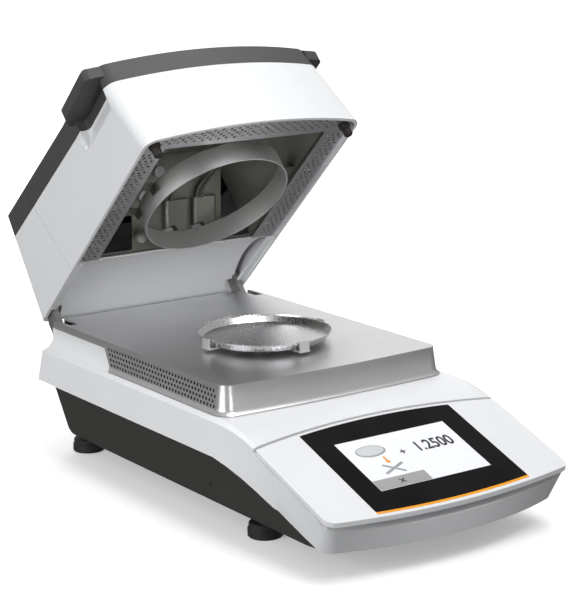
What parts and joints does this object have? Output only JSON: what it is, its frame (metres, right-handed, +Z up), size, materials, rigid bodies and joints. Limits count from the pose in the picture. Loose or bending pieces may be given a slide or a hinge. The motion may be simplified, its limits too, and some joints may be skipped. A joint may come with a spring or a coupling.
{
  "type": "moisture analyzer",
  "caption": "Benchtop moisture analyzer: a balance with a tilted touch display, a round sample pan under a hinged heated lid, and levelling feet.",
  "frame": {"origin": "middle of the footprint of the whole object with its lid open, on the surface it stands on", "axes": "+X to the right of the person at the display, +Y towards the hinge, +Z up"},
  "size_m": [0.215, 0.4608, 0.3165],
  "materials": {
    "accent": "coloured strip",
    "base_grey": "fine matt moulded dark grey",
    "bracket_steel": "zinc-plated steel",
    "bush_brass": "turned",
    "cell_aluminium": "milled",
    "circuit_board": "solder mask",
    "cover_grey": "fine matt moulded grey",
    "foot_black": "moulded black",
    "glass_black": "black-printed cover glass",
    "housing_white": "fine matt moulded white",
    "lead_sleeve": "braided glass sleeve",
    "pan_aluminium": "bright pressed sheet",
    "plate_steel": "satin stainless sheet",
    "screen": "lit screen",
    "sensor_grey": "moulded light grey",
    "socket_black": "moulded black",
    "stop_rubber": "soft stop",
    "supply_grey": "folded metal case"
  },
  "bodies": {
    "base": {"accent_stripe": "accent", "base_tray": "base_grey", "cell_bracket": "bracket_steel", "chamber_plate": "plate_steel", "control_panel": "housing_white", "display_board": "circuit_board", "display_glass": "glass_black", "foot_bushes": "bush_brass", "hinge_bracket_left": "bracket_steel", "hinge_bracket_right": "bracket_steel", "hinge_shaft": "bracket_steel", "lcd_screen": "screen", "main_board": "circuit_board", "pan_post": "bracket_steel", "power_inlet": "socket_black", "power_supply": "supply_grey", "upper_housing": "housing_white", "usb_socket": "socket_black", "weighing_cell": "cell_aluminium"},
    "lid": {"bumper_left": "stop_rubber", "bumper_right": "stop_rubber", "heater_hood": "plate_steel", "heater_leads": "lead_sleeve", "heater_module": "plate_steel", "hinge_arm_left": "bracket_steel", "hinge_arm_right": "bracket_steel", "hood_screws": "bracket_steel", "inner_rear_panel": "housing_white", "lid_front_shell": "housing_white", "lid_rear_cover": "cover_grey", "lid_rear_shell": "housing_white", "lid_top_cover": "cover_grey", "perforated_frame": "plate_steel", "ring_brackets": "bracket_steel", "shield_ring": "plate_steel", "temperature_sensor": "sensor_grey"},
    "pan_support": {"pan_support": "plate_steel"},
    "sample_pan": {"sample_pan": "pan_aluminium"},
    "stud_front_left": {"foot_stud_front_left": "bracket_steel"},
    "disc_front_left": {"foot_disc_front_left": "foot_black"},
    "stud_front_right": {"foot_stud_front_right": "bracket_steel"},
    "disc_front_right": {"foot_disc_front_right": "foot_black"},
    "stud_rear_left": {"foot_stud_rear_left": "bracket_steel"},
    "disc_rear_left": {"foot_disc_rear_left": "foot_black"},
    "stud_rear_right": {"foot_stud_rear_right": "bracket_steel"},
    "disc_rear_right": {"foot_disc_rear_right": "foot_black"}
  },
  "joints": [
    {"name": "lid_hinge", "type": "hinge", "parent": "base", "child": "lid", "pos_m": [0, 0.14792, 0.073], "axis": [1, 0, 0], "range_deg": [0, 43]},
    {"name": "support_lift", "type": "slide", "parent": "base", "child": "pan_support", "axis": [0, 0, 1], "range_m": [0, 0.005]},
    {"name": "pan_lift", "type": "slide", "parent": "pan_support", "child": "sample_pan", "axis": [0, 0, 1], "range_m": [0, 0.007]},
    {"name": "foot_lift_front_left", "type": "slide", "parent": "base", "child": "stud_front_left", "axis": [0, 0, 1], "range_m": [-0.002, 0.002]},
    {"name": "foot_turn_front_left", "type": "hinge", "parent": "stud_front_left", "child": "disc_front_left", "pos_m": [-0.077, -0.11338, 0], "axis": [0, 0, 1], "range_deg": [-720, 720]},
    {"name": "foot_lift_front_right", "type": "slide", "parent": "base", "child": "stud_front_right", "axis": [0, 0, 1], "range_m": [-0.002, 0.002]},
    {"name": "foot_turn_front_right", "type": "hinge", "parent": "stud_front_right", "child": "disc_front_right", "pos_m": [0.077, -0.11338, 0], "axis": [0, 0, 1], "range_deg": [-720, 720]},
    {"name": "foot_lift_rear_left", "type": "slide", "parent": "base", "child": "stud_rear_left", "axis": [0, 0, 1], "range_m": [-0.002, 0.002]},
    {"name": "foot_turn_rear_left", "type": "hinge", "parent": "stud_rear_left", "child": "disc_rear_left", "pos_m": [-0.077, 0.13662, 0], "axis": [0, 0, 1], "range_deg": [-720, 720]},
    {"name": "foot_lift_rear_right", "type": "slide", "parent": "base", "child": "stud_rear_right", "axis": [0, 0, 1], "range_m": [-0.002, 0.002]},
    {"name": "foot_turn_rear_right", "type": "hinge", "parent": "stud_rear_right", "child": "disc_rear_right", "pos_m": [0.077, 0.13662, 0], "axis": [0, 0, 1], "range_deg": [-720, 720]}
  ],
  "couplings": [
    {"joint": "foot_lift_front_left", "follows": "foot_turn_front_left", "m_per_rad": 0.000159},
    {"joint": "foot_lift_front_right", "follows": "foot_turn_front_right", "m_per_rad": 0.000159},
    {"joint": "foot_lift_rear_left", "follows": "foot_turn_rear_left", "m_per_rad": 0.000159},
    {"joint": "foot_lift_rear_right", "follows": "foot_turn_rear_right", "m_per_rad": 0.000159}
  ]
}
